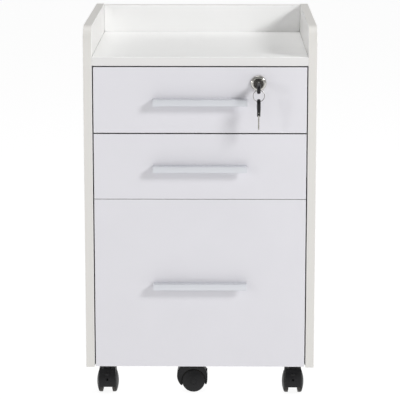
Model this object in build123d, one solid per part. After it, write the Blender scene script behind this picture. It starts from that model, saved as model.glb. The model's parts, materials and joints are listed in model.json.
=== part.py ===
"""Rolling pedestal cabinet: a board case on casters with two shallow drawers and a file drawer.

Millimetres, +Z up, front towards -Y. The origin is on the floor, under the middle of the whole
object, counting the key that stands out of the lock. Every loose piece is its own solid.
"""

from build123d import *
import math
import os

# Case
case_width = 400.0
case_depth = 400.0
side_height = 600.0
board = 15.0  # melamine-faced board
gallery_height = 52.0  # the sides above the top surface
side_corner_radius = 30.0
edge_radius = 0.8  # edge banding, slightly rounded
back_drop = 1.5  # the back stands this much lower than the sides

# Drawer fronts
front_side_gap = 2.0
front_top_gap = 2.0
front_upper_gap = 2.0
front_lower_gap = 0.8
front_bottom_lift = 1.5
shallow_front_height = 113.7
front_stop_gap = 1.5  # drawer front to the edge of the bottom panel

# Drawer boxes
box_wall = 12.0
box_base = 4.0
base_groove = 5.0
base_groove_lift = 12.0
groove_play = 0.15
box_rise = 14.0  # box above the lower edge of a shallow front
shallow_box_drop = 20.0  # box below the upper edge of its front
deep_box_drop = 42.0
deep_box_rise = 8.0  # deep box above the bottom panel
back_clearance = 20.0
file_rail_wall = 2.0
file_rail_rise = 10.0
file_rail_lap = 12.0

# Telescopic slides, three nested channels a side
slide_thickness = 12.7
slide_height = 45.0
slide_wall = 1.2
slide_play = 0.4
slide_web_gap = 0.4
slide_outer_reach = 9.0
slide_setback = 2.0
slide_screw_radius = 1.8
slide_screw_head = 3.4
slide_screw_length = 12.0
slide_screw_inset = 40.0

# Pulls
handle_length = 162.0
handle_depth = 14.5
handle_lip = 11.0
handle_leg = 9.0
handle_wall = 2.0
handle_leg_wall = 2.5
handle_above_centre = 2.5
handle_edge_radius = 0.7
handle_screw_spacing = 128.0
handle_screw_radius = 2.0
handle_hole_radius = 2.3
handle_screw_head_radius = 4.0
handle_screw_head = 2.4

# Lock
lock_x = 100.0
lock_drop = 27.3  # below the upper edge of the front
barrel_wall = 1.4
barrel_play = 0.2
barrel_stand = 1.0
rosette_flange = 4.25  # past the barrel
rosette_stand = 5.0
rosette_rim = 0.8
plug_radius = 8.0
plug_play = 0.1
plug_recess = 0.4
lock_case_half_width = 16.0
lock_case_depth = 11.0
lock_case_below = 14.0
lock_case_drop = 1.5
lock_case_wall = 2.3
bolt_half_width = 8.0
bolt_foot_half_width = 10.5
bolt_foot_half_height = 8.0
bolt_thickness = 6.0
bolt_drop = 0.5
bolt_play = 0.25
bolt_throw = 6.5
crank_pin_radius = 1.2
crank_play = 0.35
strike_thickness = 1.0
strike_length = 40.0
strike_width = 12.0
mortise_depth = 6.0
mortise_play = 1.0

# Folding keys
key_thickness = 2.2
key_width = 7.6
key_play = 0.25
key_reach = 26.6  # pivot to the tip of the blade
key_pivot_stand = 7.5  # pivot in front of the lock
key_pivot_radius = 1.25
key_cut_depth = 1.4
key_cut_pitch = 3.2
key_cut_count = 5
head_thickness = 5.8
head_root_radius = 4.2
head_end_radius = 8.0
head_end_from_pivot = 18.2
head_hole_from_pivot = 21.5
head_hole_radius = 2.2
head_slot_play = 0.25
head_slot_past_pivot = 4.4
head_droop = 20.0  # degrees below level
ring_radius = 9.6
ring_wire_radius = 0.6
ring_seat = 0.5

# Casters
wheel_diameter = 41.0
wheel_gap = 15.7  # between the two inner faces
wheel_tread_width = 7.0
wheel_bulge = 4.5  # dome beyond the tread
wheel_edge = 0.7
wheel_lip = 0.7  # step between the tread and the cap
hood_top_gap = 6.0
hood_width = 29.0
hood_wheel_gap = 0.9
hood_web_gap = 0.4
hood_front_reach = 4.4  # past the wheel, kingpin side
hood_rear_reach = 8.8  # past the wheel, trailing side
hood_edge_radius = 1.2
caster_trail = 12.0
neck_height = 10.5
neck_radius = 5.9
neck_gap = 0.3
kingpin_radius = 4.0
kingpin_play = 0.1
kingpin_depth = 22.0
axle_radius = 2.5
axle_play = 0.1
axle_half_length = 16.5
plate_size = 38.0
plate_thickness = 2.5
plate_corner = 4.0
plate_hole_half_spacing = 14.0
plate_hole_radius = 2.3
plate_screw_radius = 1.8
plate_screw_head_radius = 3.8
plate_screw_head = 2.0
plate_screw_length = 11.0
caster_side_inset = 35.0  # kingpin from the outer faces of the sides
caster_end_inset = 43.0  # kingpin from the front and back of the case
drawer_caster_inset = 58.5
drawer_caster_lift = 2.0  # this wheel hangs clear of the floor
block_half_width = 32.5
block_depth = 64.0
block_notch_gap = 3.0

# Knock-down fittings
cam_radius = 7.5
cam_depth = 12.0
cam_inset = 34.0
cam_end_inset = 80.0
cam_slot_width = 1.6
cam_slot_length = 10.0
cam_slot_depth = 2.0
cam_lift = 100.0

# Places that follow from the sizes
wheel_radius = wheel_diameter / 2
barrel_radius = plug_radius + plug_play + barrel_wall
rosette_radius = barrel_radius + rosette_flange
hood_top = wheel_diameter + hood_top_gap
z_case = hood_top + neck_height + plate_thickness
z_side_top = z_case + side_height
z_top = z_side_top - gallery_height
z_top_under = z_top - board
half_width = case_width / 2
inner_half = half_width - board
droop = math.radians(head_droop)
hole_ahead = rosette_stand + key_pivot_stand + head_hole_from_pivot * math.cos(droop)
key_overhang = hole_ahead + head_end_radius  # the spare key hangs furthest out
y_front = -(case_depth - key_overhang) / 2
y_rear = y_front + case_depth
y_back_face = y_rear - board
y_front_back = y_front + board
slide_length = case_depth - 2 * board - back_clearance
box_half = inner_half - slide_thickness
front_half = inner_half - front_side_gap
y_kingpin_front = y_front + caster_end_inset
y_kingpin_rear = y_rear - caster_end_inset
x_kingpin = half_width - caster_side_inset
y_drawer_kingpin = y_front + drawer_caster_inset

top_front = (z_top_under - front_top_gap - shallow_front_height, z_top_under - front_top_gap)
middle_front = (top_front[0] - front_upper_gap - shallow_front_height, top_front[0] - front_upper_gap)
bottom_front = (z_case + front_bottom_lift, middle_front[0] - front_lower_gap)
drawers = {
    "top_drawer": {"front": top_front, "box": (top_front[0] + box_rise, top_front[1] - shallow_box_drop)},
    "middle_drawer": {
        "front": middle_front,
        "box": (middle_front[0] + box_rise, middle_front[1] - shallow_box_drop),
    },
    "bottom_drawer": {
        "front": bottom_front,
        "box": (z_case + board + deep_box_rise, bottom_front[1] - deep_box_drop),
    },
}
z_lock = top_front[1] - lock_drop
z_bolt_top = top_front[1] - bolt_drop
y_bolt = y_front_back + lock_case_wall + bolt_play

os.makedirs("parts", exist_ok=True)


def block(x0, x1, y0, y1, z0, z1):
    """Plain box between two corners."""
    centre = ((x0 + x1) / 2, (y0 + y1) / 2, (z0 + z1) / 2)
    return Pos(*centre) * Box(x1 - x0, y1 - y0, z1 - z0)


def panel(x0, x1, y0, y1, z0, z1, radius=edge_radius):
    """A board with its edges eased."""
    plain = block(x0, x1, y0, y1, z0, z1)
    return fillet(plain.edges(), radius)


def rod_x(x, y, z, radius, length):
    """Cylinder along X about its middle."""
    return Pos(x, y, z) * Rot(0, 90, 0) * Cylinder(radius, length)


def rod_y(x, y0, y1, z, radius):
    """Cylinder along Y from y0 to y1."""
    return Pos(x, (y0 + y1) / 2, z) * Rot(90, 0, 0) * Cylinder(radius, abs(y1 - y0))


def rod_z(x, y, z0, z1, radius):
    """Cylinder along Z from z0 to z1."""
    return Pos(x, y, (z0 + z1) / 2) * Cylinder(radius, abs(z1 - z0))


def save(name, *shapes):
    """Writes one node. Each solid in it stays separate."""
    solids = [s for shape in shapes for s in shape.solids()]
    whole = solids[0] if len(solids) == 1 else Compound(solids)
    export_step(whole, f"parts/{name}.step")


def rail_heights():
    """Middle height of the slides of each drawer."""
    return [sum(d["box"]) / 2 for d in drawers.values()]


def rail_screw_ys():
    start = y_front_back + slide_setback
    return [start + slide_screw_inset, start + slide_length - slide_screw_inset]


def cam_places():
    """Centre, axis and mouth direction of every cam fitting: the boards' inner faces."""
    places = []
    for side in (-1, 1):
        x = side * (inner_half - cam_inset)
        for y in (y_front + cam_end_inset, y_back_face - cam_end_inset):
            places.append((x, y, z_top_under, "up"))
            places.append((x, y, z_case + board, "down"))
        for z in (z_case + cam_lift, z_top_under - cam_lift):
            places.append((x, y_back_face, z, "back"))
    return places


def cam_body(place, radius=cam_radius, depth=cam_depth):
    """A round fitting or its pocket, sunk from the board's inner face."""
    x, y, z, way = place
    if way == "up":
        return rod_z(x, y, z, z + depth, radius)
    if way == "down":
        return rod_z(x, y, z - depth, z, radius)
    return rod_y(x, y, y + depth, z, radius)


def cam_nut(place):
    """Disc with a cross slot for a screwdriver."""
    x, y, z, way = place
    half, deep, long = cam_slot_width / 2, cam_slot_depth, cam_slot_length / 2
    nut = cam_body(place)
    for along, across in ((long, half), (half, long)):
        if way == "back":
            nut -= block(x - along, x + along, y - deep, y + deep, z - across, z + across)
        else:
            nut -= block(x - along, x + along, y - across, y + across, z - deep, z + deep)
    return nut


def side_panel(side):
    """Board with a rounded upper front corner, drilled for the slide screws."""
    outline = [
        (y_front, z_case),
        (y_rear, z_case),
        (y_rear, z_side_top),
        (y_front, z_side_top),
    ]
    face = make_face(Polyline(*outline, close=True))
    corner = face.vertices().sort_by_distance((y_front, z_side_top, 0))[0]
    face = fillet(corner, side_corner_radius)
    slab = extrude(Plane.YZ * face, board)
    slab = Pos(min(side * inner_half, side * half_width), 0, 0) * slab
    slab = fillet(slab.edges(), edge_radius)
    for z in rail_heights():
        for y in rail_screw_ys():
            length = 2 * (slide_screw_length - slide_wall)
            slab -= rod_x(side * inner_half, y, z, slide_screw_radius, length)
    return slab


def top_panel():
    shape = panel(-inner_half, inner_half, y_front, y_back_face, z_top_under, z_top)
    mortise_half = bolt_half_width + mortise_play
    shape -= block(
        lock_x - mortise_half,
        lock_x + mortise_half,
        y_bolt - mortise_play,
        y_bolt + bolt_thickness + mortise_play,
        z_top_under - 1,
        z_top_under + mortise_depth,
    )
    for place in cam_places():
        if place[3] == "up":
            shape -= cam_body(place)
    return shape


def plate_holes(x, y):
    """The four screw places of a caster plate."""
    h = plate_hole_half_spacing
    return [(x + a * h, y + b * h) for a in (-1, 1) for b in (-1, 1)]


def case_kingpins():
    return [(sx * x_kingpin, y) for sx in (-1, 1) for y in (y_kingpin_front, y_kingpin_rear)]


def bottom_panel():
    """Board with a notch in front for the caster that the bottom drawer carries."""
    front = y_front_back + front_stop_gap
    shape = panel(-inner_half, inner_half, front, y_back_face, z_case, z_case + board)
    notch = block_half_width + block_notch_gap
    end = y_front_back + block_depth + block_notch_gap
    shape -= block(-notch, notch, front - 1, end, z_case - 1, z_case + board + 1)
    for place in cam_places():
        if place[3] == "down":
            shape -= cam_body(place)
    for kingpin in case_kingpins():
        for x, y in plate_holes(*kingpin):
            top = z_case - plate_thickness + plate_screw_length
            shape -= rod_z(x, y, z_case - 1, top, plate_screw_radius)
    return shape


def back_panel():
    z_back_top = z_side_top - back_drop
    shape = panel(-inner_half, inner_half, y_back_face, y_rear, z_case, z_back_top)
    for place in cam_places():
        if place[3] == "back":
            shape -= cam_body(place)
    return shape


def channel(side, x_web, x_open, z, half_height, y0, y1):
    """C channel along Y: its web at x_web and its lips reaching to x_open, both from the side panel."""
    step = slide_wall if x_open > x_web else -slide_wall
    web = sorted((side * (inner_half - x_web), side * (inner_half - x_web - step)))
    lips = sorted((side * (inner_half - x_web), side * (inner_half - x_open)))
    shape = block(*web, y0, y1, z - half_height, z + half_height)
    for edge in (-1, 1):
        inner = z + edge * (half_height - slide_wall)
        shape += block(*lips, y0, y1, *sorted((inner, z + edge * half_height)))
    return shape


def slide_set(z):
    """Cabinet, middle and drawer channels at one height, left and right."""
    y0 = y_front_back + slide_setback
    y1 = y0 + slide_length - slide_setback
    outer_half = slide_height / 2
    middle_half = outer_half - slide_wall - slide_play
    inner_channel_half = middle_half - slide_wall - slide_play
    x_middle = slide_wall + slide_web_gap
    x_inner_open = x_middle + slide_wall + slide_web_gap
    x_middle_open = slide_thickness - slide_wall - slide_web_gap
    cabinet, middle, drawer = [], [], []
    for side in (-1, 1):
        rail = channel(side, 0, slide_outer_reach, z, outer_half, y0, y1)
        for y in rail_screw_ys():
            rail -= rail_screw(side, y, z)
        cabinet.append(rail)
        middle.append(channel(side, x_middle, x_middle_open, z, middle_half, y0, y1))
        drawer.append(channel(side, slide_thickness, x_inner_open, z, inner_channel_half, y0, y1))
    return cabinet, middle, drawer


def rail_screw(side, y, z):
    """Countersunk screw, its head flush in the web of the cabinet channel."""
    head = Cone(slide_screw_radius, slide_screw_head, slide_wall)
    shank_length = slide_screw_length - slide_wall
    shank = Pos(0, 0, -slide_screw_length / 2) * Cylinder(slide_screw_radius, shank_length)
    screw = head + shank
    return Pos(side * (inner_half - slide_wall / 2), y, z) * Rot(0, -90 * side, 0) * screw


def drawer_front(name):
    z0, z1 = drawers[name]["front"]
    shape = panel(-front_half, front_half, y_front, y_front_back, z0, z1)
    z_handle = handle_top(name) - handle_leg / 2
    for x in (-handle_screw_spacing / 2, handle_screw_spacing / 2):
        shape -= rod_y(x, y_front - 1, y_front_back + 1, z_handle, handle_hole_radius)
    if name == "top_drawer":
        hole = barrel_radius + barrel_play
        shape -= rod_y(lock_x, y_front - 1, y_front_back + 1, z_lock, hole)
    return shape


def drawer_sides(name):
    """Two side boards with a groove for the base."""
    z0, z1 = drawers[name]["box"]
    y0, y1 = y_front_back, y_front_back + slide_length
    sides = []
    for side in (-1, 1):
        x0, x1 = sorted((side * box_half, side * (box_half - box_wall)))
        shape = panel(x0, x1, y0, y1, z0, z1)
        g0, g1 = sorted((side * (box_half - box_wall), side * (box_half - box_wall + base_groove)))
        z = z0 + base_groove_lift
        low, high = (g0 - 1, g1) if side > 0 else (g0, g1 + 1)
        shape -= block(low, high, y0 - 1, y1 + 1, z, z + box_base + groove_play)
        sides.append(shape)
    return sides


def drawer_back(name):
    """Back board between the sides, standing on the base."""
    z0, z1 = drawers[name]["box"]
    x = box_half - box_wall
    y1 = y_front_back + slide_length
    return panel(-x, x, y1 - box_wall, y1, z0 + base_groove_lift + box_base, z1)


def drawer_base(name):
    z0 = drawers[name]["box"][0] + base_groove_lift
    x = box_half - box_wall + base_groove - groove_play
    return block(-x, x, y_front_back, y_front_back + slide_length, z0, z0 + box_base)


def handle_top(name):
    return sum(drawers[name]["front"]) / 2 + handle_above_centre


def handle(name):
    """Inverted channel pull, and the two screws that hold it from inside the drawer."""
    z = handle_top(name)
    x = handle_length / 2
    outline = [
        (y_front, z),
        (y_front, z - handle_leg),
        (y_front - handle_leg_wall, z - handle_leg),
        (y_front - handle_leg_wall, z - handle_wall),
        (y_front - handle_depth + handle_wall, z - handle_wall),
        (y_front - handle_depth + handle_wall, z - handle_lip),
        (y_front - handle_depth, z - handle_lip),
        (y_front - handle_depth, z),
    ]
    face = make_face(Polyline(*outline, close=True))
    rounded = face.vertices().filter_by(lambda v: v.X < y_front - handle_depth + handle_wall / 2)
    face = fillet(rounded, handle_edge_radius)
    pull = Pos(-x, 0, 0) * extrude(Plane.YZ * face, handle_length)
    screws = []
    z_screw = z - handle_leg / 2
    for sx in (-1, 1):
        x_screw = sx * handle_screw_spacing / 2
        tip = y_front - handle_leg_wall
        pull -= rod_y(x_screw, tip - 1, y_front + 1, z_screw, handle_screw_radius)
        shank = rod_y(x_screw, tip, y_front_back, z_screw, handle_screw_radius)
        head = rod_y(
            x_screw, y_front_back, y_front_back + handle_screw_head, z_screw, handle_screw_head_radius
        )
        rim = head.faces().sort_by(Axis.Y)[-1].edges()
        screws.append(shank + fillet(rim, handle_edge_radius))
    return pull, screws


def file_rails():
    """Two upright strips on the inner faces of the deep drawer, for hanging files."""
    z1 = drawers["bottom_drawer"]["box"][1]
    strips = []
    for side in (-1, 1):
        x0, x1 = sorted((side * (box_half - box_wall), side * (box_half - box_wall - file_rail_wall)))
        y1 = y_front_back + slide_length - box_wall
        strips.append(block(x0, x1, y_front_back, y1, z1 - file_rail_lap, z1 + file_rail_rise))
    return strips


def caster_block():
    """Block behind the deep drawer's front that carries its caster."""
    top = drawers["bottom_drawer"]["box"][0] + base_groove_lift
    bottom = z_case + drawer_caster_lift
    shape = panel(
        -block_half_width, block_half_width, y_front_back, y_front_back + block_depth, bottom, top
    )
    for x, y in plate_holes(0, y_drawer_kingpin):
        hole_top = bottom - plate_thickness + plate_screw_length
        shape -= rod_z(x, y, bottom - 1, hole_top, plate_screw_radius)
    return shape


def caster_plate(x, y, lift=0.0):
    """Square plate with its neck and kingpin, drilled for four screws."""
    z = z_case + lift
    shape = Pos(x, y, z - plate_thickness / 2) * extrude(
        RectangleRounded(plate_size, plate_size, plate_corner), plate_thickness / 2, both=True
    )
    neck_low = hood_top + lift + neck_gap
    shape += rod_z(x, y, neck_low, z - plate_thickness, neck_radius)
    shape += rod_z(x, y, hood_top + lift - kingpin_depth, z - plate_thickness, kingpin_radius)
    for hx, hy in plate_holes(x, y):
        shape -= rod_z(hx, hy, z - plate_thickness - 1, z + 1, plate_hole_radius)
    return shape


def plate_screws(x, y, lift=0.0):
    """Four pan-head screws under a caster plate."""
    z = z_case + lift - plate_thickness
    screws = []
    for hx, hy in plate_holes(x, y):
        head = rod_z(hx, hy, z - plate_screw_head, z, plate_screw_head_radius)
        head = fillet(head.faces().sort_by(Axis.Z)[0].edges(), edge_radius)
        screws.append(head + rod_z(hx, hy, z, z + plate_screw_length, plate_screw_radius))
    return screws


def hood_profile():
    """Side outline of the hood about the wheel centre: flat top, bulging ends, open underneath."""
    top = hood_top - wheel_radius
    ahead = wheel_radius + hood_front_reach
    behind = wheel_radius + hood_rear_reach
    low_ahead = (-ahead + 0.06 * ahead, -0.3 * wheel_radius)
    low_behind = (1.1 * wheel_radius, -0.4 * wheel_radius)
    top_ahead = (-0.72 * ahead, top)
    top_behind = (0.77 * behind, top)
    return make_face(
        Curve()
        + [
            ThreePointArc(low_ahead, (-ahead, 0.25 * wheel_radius), top_ahead),
            Line(top_ahead, top_behind),
            ThreePointArc(top_behind, (behind, 0.3 * wheel_radius), low_behind),
            Line(low_behind, low_ahead),
        ]
    )


def caster_hood():
    """Moulded hood about the kingpin at x = y = 0, its wheels trailing towards +Y, and its axle."""
    centre = Pos(0, caster_trail, wheel_radius)
    body = extrude(Plane.YZ * hood_profile(), hood_width / 2, both=True)
    outer_edges = [e for e in body.edges() if abs(abs(e.center().X) - hood_width / 2) < 0.01]
    upper = [e for e in outer_edges if e.center().Z > -0.2 * wheel_radius]
    body = fillet(upper, hood_edge_radius)
    web_half = wheel_gap / 2 - hood_web_gap
    clear = wheel_radius + hood_wheel_gap
    for side in (-1, 1):
        x = side * (web_half + hood_width / 2)
        body -= rod_x(x, 0, 0, clear, hood_width)
    ahead = wheel_radius + hood_front_reach
    behind = wheel_radius + hood_rear_reach
    pocket = web_half - 2.0
    body -= block(-pocket, pocket, 3 * axle_radius, behind - 6, -wheel_radius, 0.8 * wheel_radius)
    pad_z = 0.83 * wheel_radius
    body += block(-3.5, 3.5, -ahead + 0.3, -0.7 * ahead, pad_z - 2, pad_z + 2)
    window_z = 0.38 * wheel_radius
    body -= block(-1.7, 1.7, -ahead - 1, -ahead + 5, window_z - 2, window_z + 2)
    body -= block(-1.7, 1.7, behind - 5, behind + 1, window_z - 2, window_z + 2)
    body = centre * body
    bore = kingpin_radius + kingpin_play
    body -= rod_z(0, 0, hood_top - kingpin_depth - 1, hood_top + 1, bore)
    body -= rod_x(0, caster_trail, wheel_radius, axle_radius, wheel_gap)
    axle = rod_x(0, caster_trail, wheel_radius, axle_radius, 2 * axle_half_length)
    return body, axle


def caster_wheel(side):
    """One wheel of a pair: tread, a groove and a domed outer face, bored for the axle."""
    inner = wheel_gap / 2
    tread_end = inner + wheel_tread_width
    r = wheel_radius
    bore = axle_radius + axle_play
    lip_end = tread_end + wheel_lip
    rim, rise = r - wheel_lip, wheel_bulge - wheel_lip
    dome = (rim**2 + rise**2) / (2 * rise)  # radius of the sphere that caps the wheel
    centre = tread_end + wheel_bulge - dome
    half_angle = math.asin(rim / dome) / 2
    on_dome = (centre + dome * math.cos(half_angle), dome * math.sin(half_angle))
    half = make_face(
        Curve()
        + [
            Polyline(
                (inner, 0),
                (inner, r - 6 * wheel_edge),
                (inner + wheel_edge, r - 5 * wheel_edge),
                (inner + wheel_edge, r - wheel_edge),
                (inner + 2 * wheel_edge, r),
                (tread_end - wheel_edge, r),
                (tread_end, r - wheel_edge),
                (tread_end, rim - wheel_edge),
                (lip_end, rim - wheel_edge),
                (lip_end, rim),
            ),
            ThreePointArc((lip_end, rim), on_dome, (tread_end + wheel_bulge, 0)),
            Line((tread_end + wheel_bulge, 0), (inner, 0)),
        ]
    )
    wheel = revolve(half, Axis.X)
    wheel -= rod_x(inner, 0, 0, bore, 2 * (axle_half_length + 0.5 - inner))
    turn = Rot(0, 0, 180) if side < 0 else Rot(0, 0, 0)
    return Pos(0, caster_trail, wheel_radius) * turn * wheel


def lock_case():
    """Lock body behind the front with its barrel through the board, and the bolt's guide."""
    y1 = y_front_back + lock_case_depth
    top = top_front[1] - lock_case_drop
    shape = panel(
        lock_x - lock_case_half_width,
        lock_x + lock_case_half_width,
        y_front_back,
        y1,
        z_lock - lock_case_below,
        top,
    )
    shape += rod_y(lock_x, y_front - barrel_stand, y_front_back + edge_radius, z_lock, barrel_radius)
    cavity = (y_bolt - bolt_play, y_bolt + bolt_thickness + bolt_play)
    foot = bolt_foot_half_width + bolt_play
    foot_top = z_lock + bolt_foot_half_height + bolt_throw + bolt_play
    foot_low = z_lock - bolt_foot_half_height - bolt_play
    shape -= block(lock_x - foot, lock_x + foot, *cavity, foot_low, foot_top)
    neck = bolt_half_width + bolt_play
    shape -= block(lock_x - neck, lock_x + neck, *cavity, z_lock, top + 1)
    shape -= rod_y(lock_x, y_front - barrel_stand - 1, y_bolt - bolt_play, z_lock, plug_radius + plug_play)
    return shape


def lock_rosette():
    """Domed ring round the barrel."""
    inner = plug_radius + plug_play + 0.3
    recess = barrel_radius + plug_play
    profile = make_face(
        Curve()
        + [
            Polyline(
                (rosette_radius, 0),
                (recess, 0),
                (recess, barrel_stand + plug_play),
                (inner, barrel_stand + plug_play),
                (inner, rosette_stand - 0.3),
                (inner + 0.3, rosette_stand),
                (inner + rosette_rim, rosette_stand),
            ),
            ThreePointArc(
                (inner + rosette_rim, rosette_stand),
                (inner + 0.72 * (rosette_radius - inner), 0.72 * rosette_stand),
                (rosette_radius, 0.6),
            ),
            Line((rosette_radius, 0.6), (rosette_radius, 0)),
        ]
    )
    return Pos(lock_x, y_front, z_lock) * Rot(90, 0, 0) * revolve(Plane.XZ * profile, Axis.Z)


def lock_plug():
    """Turning core with its keyway, and the crank pin that lifts the bolt."""
    y0 = y_front - rosette_stand + plug_recess
    y1 = y_bolt - bolt_play - 0.1
    shape = rod_y(lock_x, y0, y1, z_lock, plug_radius)
    shape = chamfer(shape.faces().sort_by(Axis.Y)[0].edges(), 0.5)
    w, h = key_thickness / 2 + key_play, key_width / 2 + key_play
    tip = key_pivot_y() + key_reach + key_play
    shape -= block(lock_x - w, lock_x + w, y0 - 1, tip, z_lock - h, z_lock + h)
    pin_end = y_bolt + bolt_thickness - bolt_play
    return shape + rod_y(lock_x + bolt_throw, y1 - 1, pin_end, z_lock, crank_pin_radius)


def lock_bolt():
    """Bolt with a wide foot; the crank pin runs in the foot's slot."""
    y0, y1 = y_bolt, y_bolt + bolt_thickness
    h = bolt_foot_half_height
    shape = block(lock_x - bolt_half_width, lock_x + bolt_half_width, y0, y1, z_lock, z_bolt_top)
    shape += block(
        lock_x - bolt_foot_half_width, lock_x + bolt_foot_half_width, y0, y1, z_lock - h, z_lock + h
    )
    reach = crank_pin_radius + crank_play
    lag = 0.2105 * bolt_throw  # the pin's greatest lead over an even lift
    shape -= block(
        lock_x - reach, lock_x + bolt_throw + reach, y0 - 1, y1 + 1, z_lock - reach, z_lock + reach + lag
    )
    return shape


def lock_strike():
    """Thin plate under the top panel, round the bolt's mortise."""
    y_mid = y_bolt + bolt_thickness / 2
    x, y = strike_length / 2, strike_width / 2
    shape = block(
        lock_x - x, lock_x + x, y_mid - y, y_mid + y, z_top_under - strike_thickness, z_top_under
    )
    hx, hy = bolt_half_width + 0.6, bolt_thickness / 2 + 0.6
    return shape - block(
        lock_x - hx, lock_x + hx, y_mid - hy, y_mid + hy, z_top_under - 2, z_top_under + 1
    )


def key_pivot_y():
    return y_front - rosette_stand - key_pivot_stand


def key_blade():
    """Blade along +Y from its pivot at the origin, with its cuts, and the pivot rivet."""
    half = key_width / 2
    shape = rod_x(0, 0, 0, half, key_thickness)
    shape += block(-key_thickness / 2, key_thickness / 2, 0, key_reach - half / 2, -half, half)
    tip = Pos(0, key_reach - half / 2, 0) * Rot(0, 90, 0) * Cylinder(half / 2, key_thickness)
    shape += tip
    for edge in (-1, 1):
        for i in range(key_cut_count):
            y = key_reach - half - key_cut_pitch * (i + 0.5)
            depth = key_cut_depth * (0.55 + 0.45 * math.cos(2.1 * i + edge))
            cut = Pos(0, y, edge * half) * Rot(45, 0, 0) * Box(2 * key_thickness, depth, depth)
            shape -= cut
    shape -= rod_x(0, 0, 0, key_pivot_radius, 2 * key_thickness)
    rivet = rod_x(0, 0, 0, key_pivot_radius, head_thickness)
    return shape, rivet


def key_head():
    """Moulded head along -Y from its pivot at the origin, forked round the blade, with a ring hole."""
    outline = make_hull(
        [
            *Circle(head_root_radius).edges(),
            *(Pos(-head_end_from_pivot, 0) * Circle(head_end_radius)).edges(),
        ]
    )
    shape = extrude(Plane.YZ * outline, head_thickness / 2, both=True)
    rims = [e for e in shape.edges() if abs(abs(e.center().X) - head_thickness / 2) < 0.01]
    shape = fillet(rims, edge_radius)
    slot = key_thickness / 2 + head_slot_play
    far = 2 * head_end_radius
    shape -= block(-slot, slot, -head_slot_past_pivot, head_root_radius + 1, -far, far)
    shape -= rod_x(0, -head_hole_from_pivot, 0, head_hole_radius, 2 * head_thickness)
    shape -= rod_x(0, 0, 0, key_pivot_radius + 0.05, 2 * head_thickness)
    return shape


def save_case():
    save("left_side_panel", side_panel(-1))
    save("right_side_panel", side_panel(1))
    save("top_panel", top_panel())
    save("bottom_panel", bottom_panel())
    save("back_panel", back_panel())
    save("cam_fittings", *[cam_nut(p) for p in cam_places()])
    screws = [rail_screw(s, y, z) for s in (-1, 1) for y in rail_screw_ys() for z in rail_heights()]
    save("slide_rail_screws", *screws)
    save("caster_plates", *[caster_plate(*k) for k in case_kingpins()])
    save("caster_plate_screws", *[s for k in case_kingpins() for s in plate_screws(*k)])
    save("lock_strike", lock_strike())


def save_drawers():
    cabinet_rails = []
    for name, z in zip(drawers, rail_heights()):
        cabinet, middle, drawer = slide_set(z)
        cabinet_rails += cabinet
        save(f"{name}_middle_rails", *middle)
        save(f"{name}_rails", *drawer)
        save(f"{name}_front", drawer_front(name))
        save(f"{name}_sides", *drawer_sides(name))
        save(f"{name}_back", drawer_back(name))
        save(f"{name}_base", drawer_base(name))
        pull, screws = handle(name)
        save(f"{name}_handle", pull, *screws)
    save("cabinet_rails", *cabinet_rails)
    save("file_rails", *file_rails())
    save("drawer_caster_block", caster_block())
    save("drawer_caster_plate", caster_plate(0, y_drawer_kingpin, drawer_caster_lift))
    save("drawer_caster_screws", *plate_screws(0, y_drawer_kingpin, drawer_caster_lift))


def save_casters():
    """Four casters on the case, and one on the bottom drawer, turned sideways."""
    places = {
        "front_left_caster": (-x_kingpin, y_kingpin_front, 0, 0),
        "front_right_caster": (x_kingpin, y_kingpin_front, 0, 0),
        "rear_left_caster": (-x_kingpin, y_kingpin_rear, 0, 180),
        "rear_right_caster": (x_kingpin, y_kingpin_rear, 0, 180),
        "drawer_caster": (0, y_drawer_kingpin, drawer_caster_lift, 90),
    }
    hood, axle = caster_hood()
    for name, (x, y, lift, turn) in places.items():
        place = Pos(x, y, lift) * Rot(0, 0, turn)
        save(f"{name}_hood", place * hood, place * axle)
        save(f"{name}_wheel_a", place * caster_wheel(-1))
        save(f"{name}_wheel_b", place * caster_wheel(1))


def save_lock():
    save("lock_case", lock_case())
    save("lock_rosette", lock_rosette())
    save("lock_plug", lock_plug())
    save("lock_bolt", lock_bolt())
    in_lock = Pos(lock_x, key_pivot_y(), z_lock)
    save("key_blade", *[in_lock * s for s in key_blade()])
    save("key_head", in_lock * Rot(head_droop, 0, 0) * key_head())
    y_hole = key_pivot_y() - head_hole_from_pivot * math.cos(droop)
    z_hole = z_lock - head_hole_from_pivot * math.sin(droop)
    z_ring = z_hole - ring_seat - ring_radius
    ring = Pos(lock_x, y_hole, z_ring) * Rot(90, 0, 0) * Torus(ring_radius, ring_wire_radius)
    save("key_ring", ring)
    z_spare = z_ring - ring_radius - ring_seat - head_hole_from_pivot
    hanging = Pos(lock_x, y_hole, z_spare) * Rot(-90, 0, 0)
    save("spare_key_blade", *[hanging * s for s in key_blade()])
    save("spare_key_head", hanging * key_head())


save_case()
save_drawers()
save_casters()
save_lock()
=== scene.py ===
# A rolling pedestal cabinet: white melamine boards, satin pulls, a bright lock with folding keys
# and black nylon casters. Places are metres; outlines, profiles and values ending in Mm are millimetres.
import json
import math

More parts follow.
